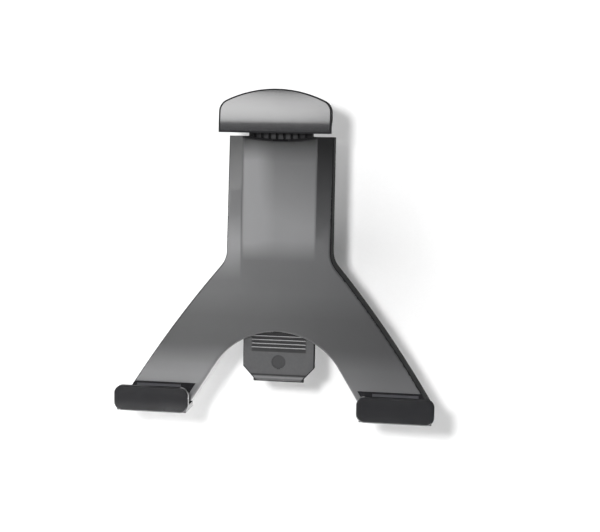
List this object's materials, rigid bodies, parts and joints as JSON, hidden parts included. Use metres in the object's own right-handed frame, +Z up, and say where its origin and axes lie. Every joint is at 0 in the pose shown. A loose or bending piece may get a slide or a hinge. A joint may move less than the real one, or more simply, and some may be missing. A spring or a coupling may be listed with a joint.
{
  "type": "headrest tablet holder",
  "caption": "Tablet cradle with an inverted Y plate, lower hooks and a sprung, ratcheting upper jaw, turning and tilting on a clamp for a headrest post.",
  "frame": {"origin": "middle of the clamp's bore, on the headrest post's axis", "axes": "+Z up along the post; the holder's front, where the tablet sits, faces -Y"},
  "size_m": [0.1548, 0.1181, 0.1559],
  "materials": {
    "shell_plastic": "satin, fine grain",
    "cover_plastic": "fine matt grain",
    "slide_plastic": "satin",
    "jaw_plastic": "satin, fine grain",
    "key_plastic": "satin",
    "pad_rubber": "matt",
    "works_plastic": "smooth natural acetal",
    "clamp_plastic": "fine matt grain",
    "knob_plastic": "matt",
    "liner_rubber": "matt",
    "steel": "zinc plated",
    "dark_screws": "blackened",
    "spring_steel": "bright",
    "brass": "turned"
  },
  "bodies": {
    "clamp": {"clamp_frame": "clamp_plastic", "seat_liner": "liner_rubber", "thread_insert": "brass", "tilt_bolt": "steel"},
    "tilt_knob": {"tilt_knob": "knob_plastic", "tilt_nut": "steel"},
    "swivel_mount": {"swivel_plate": "clamp_plastic", "swivel_washer": "works_plastic", "swivel_retainer": "steel", "swivel_screw": "steel"},
    "cradle": {"front_shell": "shell_plastic", "rear_cover": "cover_plastic", "cover_screws": "dark_screws", "left_hook": "jaw_plastic", "left_hook_pad": "pad_rubber", "right_hook": "jaw_plastic", "right_hook_pad": "pad_rubber", "hook_screws": "steel", "pawl_pin": "steel", "pawl_spring": "spring_steel", "key_spring": "spring_steel"},
    "upper_jaw": {"jaw_slide": "slide_plastic", "jaw_head": "jaw_plastic", "jaw_pad": "pad_rubber", "head_screws": "steel"},
    "key": {"release_key": "key_plastic"},
    "pawl": {"pawl": "works_plastic"},
    "pressure_jaw": {"pressure_jaw": "clamp_plastic", "pressure_liner": "liner_rubber"},
    "clamp_screw": {"clamp_screw": "steel", "clamp_knob": "knob_plastic"}
  },
  "joints": [
    {"name": "tilt", "type": "hinge", "parent": "clamp", "child": "swivel_mount", "pos_m": [0, -0.0255, 0], "axis": [1, 0, 0], "range_deg": [-20, 20]},
    {"name": "swivel", "type": "hinge", "parent": "swivel_mount", "child": "cradle", "pos_m": [0, -0.04, 0], "axis": [0, 1, 0], "continuous": true},
    {"name": "jaw_slide", "type": "slide", "parent": "cradle", "child": "upper_jaw", "axis": [0, 0, 1], "range_m": [0, 0.06]},
    {"name": "key_slide", "type": "slide", "parent": "cradle", "child": "key", "axis": [0, 0, 1], "range_m": [0, 0.004], "stiffness_N_per_m": 300, "springref_m": -0.006, "deforming": ["key_spring"]},
    {"name": "pawl_pivot", "type": "hinge", "parent": "cradle", "child": "pawl", "pos_m": [0, -0.045, 0.052], "axis": [1, 0, 0], "range_deg": [0, 8.01], "deforming": ["pawl_spring"]},
    {"name": "tilt_knob_turn", "type": "hinge", "parent": "clamp", "child": "tilt_knob", "pos_m": [0.011, -0.0255, 0], "axis": [1, 0, 0], "range_deg": [-180, 180]},
    {"name": "pressure_jaw_slide", "type": "slide", "parent": "clamp", "child": "pressure_jaw", "axis": [0, 1, 0], "range_m": [-0.003, 0.007]},
    {"name": "clamp_screw_turn", "type": "hinge", "parent": "pressure_jaw", "child": "clamp_screw", "pos_m": [0, 0.03, 0], "axis": [0, 1, 0], "range_deg": [-865, 2017]}
  ],
  "couplings": [
    {"joint": "pawl_pivot", "follows": "key_slide", "rad_per_m": 34.907},
    {"joint": "clamp_screw_turn", "follows": "pressure_jaw_slide", "rad_per_m": 5026.5}
  ]
}
